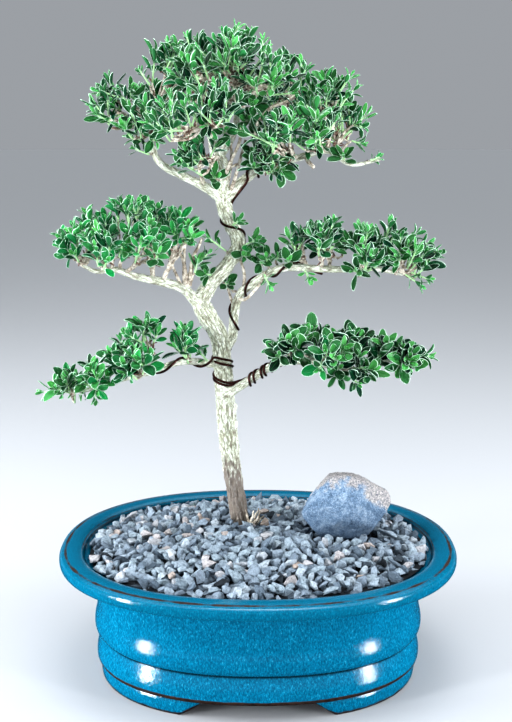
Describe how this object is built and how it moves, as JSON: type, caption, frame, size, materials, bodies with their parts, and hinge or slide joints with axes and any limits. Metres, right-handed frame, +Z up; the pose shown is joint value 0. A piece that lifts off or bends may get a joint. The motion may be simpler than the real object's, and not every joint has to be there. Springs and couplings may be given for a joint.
{
  "type": "serissa bonsai",
  "caption": "Small serissa tree with tiered leafy pads and wired branches, planted in a gravel-topped oval glazed pot on two low feet, with an accent stone.",
  "frame": {"origin": "on the table under the middle of the whole object's box", "axes": "+Z up, +X to the viewer's right along the pot's long axis, +Y away from the front"},
  "size_m": [0.2173, 0.1604, 0.33],
  "materials": {
    "glaze": "glossy speckled turquoise glaze that breaks brown on the edges",
    "screen": "matt moulded mesh",
    "soil": "dark granular potting mix",
    "gravel": "matt blue-grey crushed stone grains",
    "stone": "rough speckled blue-grey stone with a cream crust",
    "bark": "pale flaking bark, brown near the soil",
    "wire": "dark brown anodised",
    "leaf": "glossy green leaf with a cream margin"
  },
  "bodies": {
    "root": {"pot": "glaze", "drain_screen_left": "screen", "drain_screen_right": "screen", "soil": "soil", "gravel": "gravel", "stone": "stone", "wire_low": "wire", "wire_mid": "wire", "wire_crown": "wire", "tree": "bark", "spray_crownLeft_01": "leaf", "spray_crownLeft_02": "leaf", "spray_crownLeft_03": "leaf", "spray_crownLeft_04": "leaf", "spray_crownTop_05": "leaf", "spray_crownBack_06": "leaf", "spray_crownTop_07": "leaf", "spray_crownFront_08": "leaf", "spray_crownTop_09": "leaf", "spray_crownTop_10": "leaf", "spray_crownBack_11": "leaf", "spray_crownFront_12": "leaf", "spray_crownTop_13": "leaf", "spray_crownRear_14": "leaf", "spray_crownRear_15": "leaf", "spray_crownRight_16": "leaf", "spray_crownRight_17": "leaf", "spray_crownRear_18": "leaf", "spray_crownRight_19": "leaf", "spray_crownRight_20": "leaf", "spray_crownFront_21": "leaf", "spray_crownRight_22": "leaf", "spray_midLeft_23": "leaf", "spray_midLeft_24": "leaf", "spray_midLeft_25": "leaf", "spray_midLeft_26": "leaf", "spray_midLeft_27": "leaf", "spray_midLeft_28": "leaf", "spray_midLeft_29": "leaf", "spray_midRight_30": "leaf", "spray_midRight_31": "leaf", "spray_midRight_32": "leaf", "spray_midRight_33": "leaf", "spray_midRight_34": "leaf", "spray_midRight_35": "leaf", "spray_midRight_36": "leaf", "spray_midRight_37": "leaf", "spray_lowLeft_38": "leaf", "spray_lowLeft_39": "leaf", "spray_lowLeft_40": "leaf", "spray_lowLeft_41": "leaf", "spray_lowLeft_42": "leaf", "spray_lowLeft_43": "leaf", "spray_lowRight_44": "leaf", "spray_lowRight_45": "leaf", "spray_lowRight_46": "leaf", "spray_lowRight_47": "leaf", "spray_lowRight_48": "leaf", "spray_lowRight_49": "leaf", "spray_lowRight_50": "leaf"}
  },
  "joints": []
}
